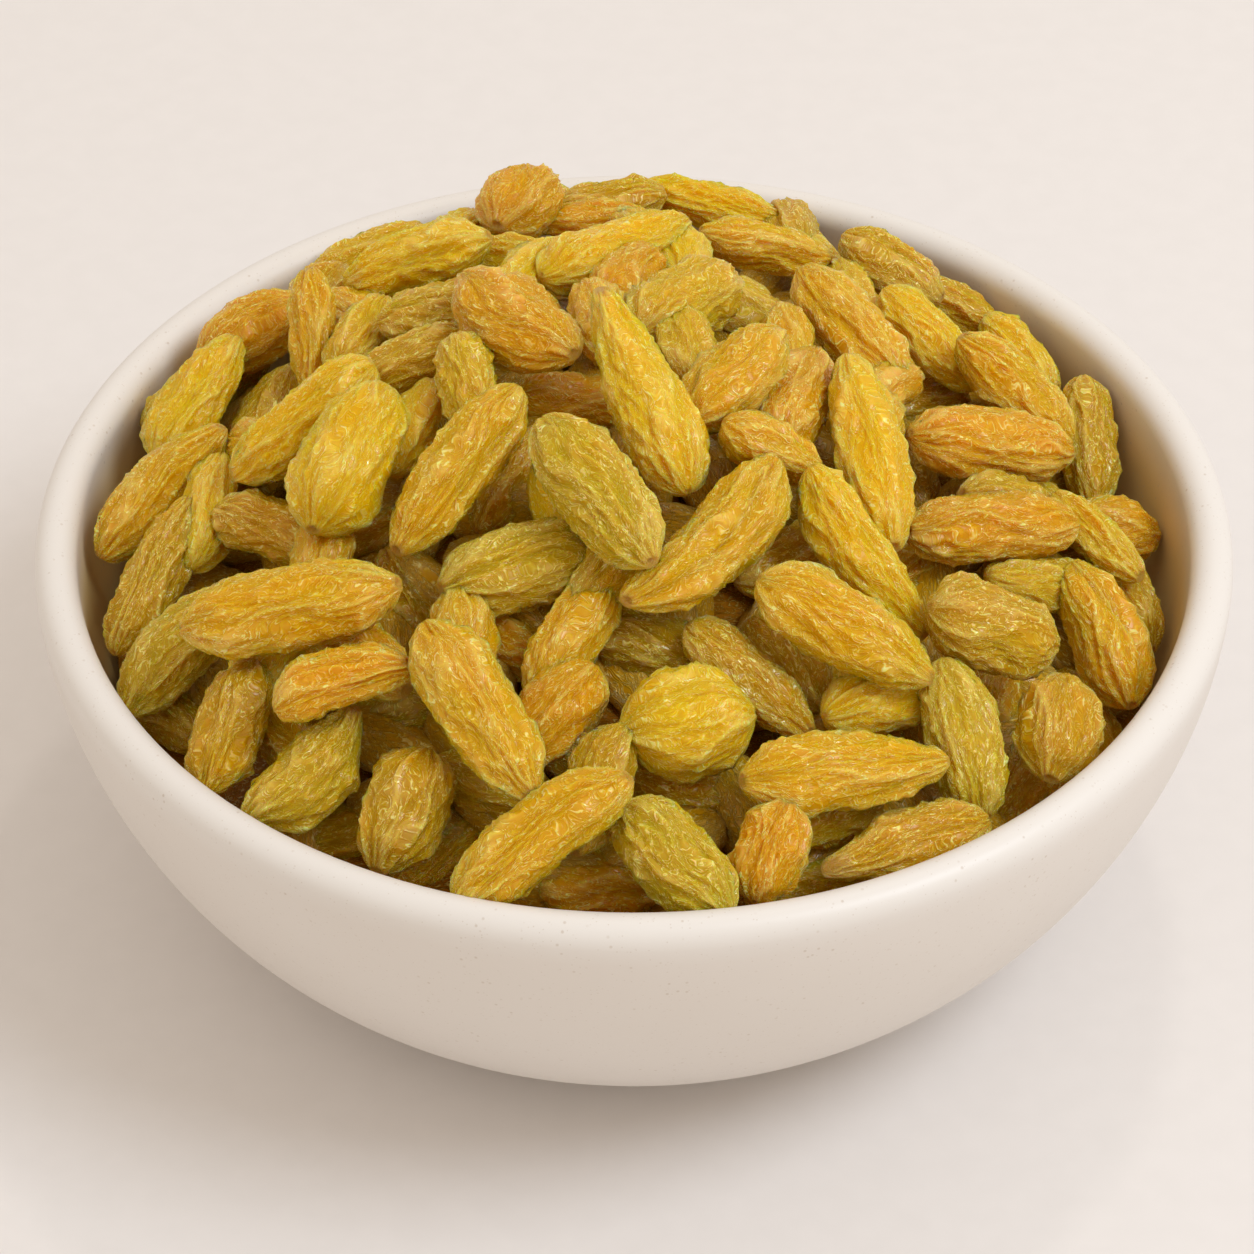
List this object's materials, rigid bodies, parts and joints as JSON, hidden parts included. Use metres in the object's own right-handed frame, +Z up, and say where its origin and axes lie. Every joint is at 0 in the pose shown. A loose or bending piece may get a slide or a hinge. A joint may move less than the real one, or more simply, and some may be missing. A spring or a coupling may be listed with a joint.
{
  "type": "bowl of raisins",
  "caption": "Round matte stoneware bowl with a rounded lip and a flat foot, heaped above the rim with golden raisins.",
  "frame": {"origin": "centre of the bowl's foot, on the surface it stands on", "axes": "+Z up; +Y to the back, away from the side the heap slopes down to; +X to the right seen from the front"},
  "size_m": [0.13, 0.13, 0.0742],
  "materials": {
    "bowl_ceramic": "matte warm white stoneware glaze with fine brown specks",
    "raisin_skin": "wrinkled translucent golden skin, lightly glossy"
  },
  "bodies": {
    "root": {"bowl": "bowl_ceramic", "raisin_heap": "raisin_skin"}
  },
  "joints": []
}
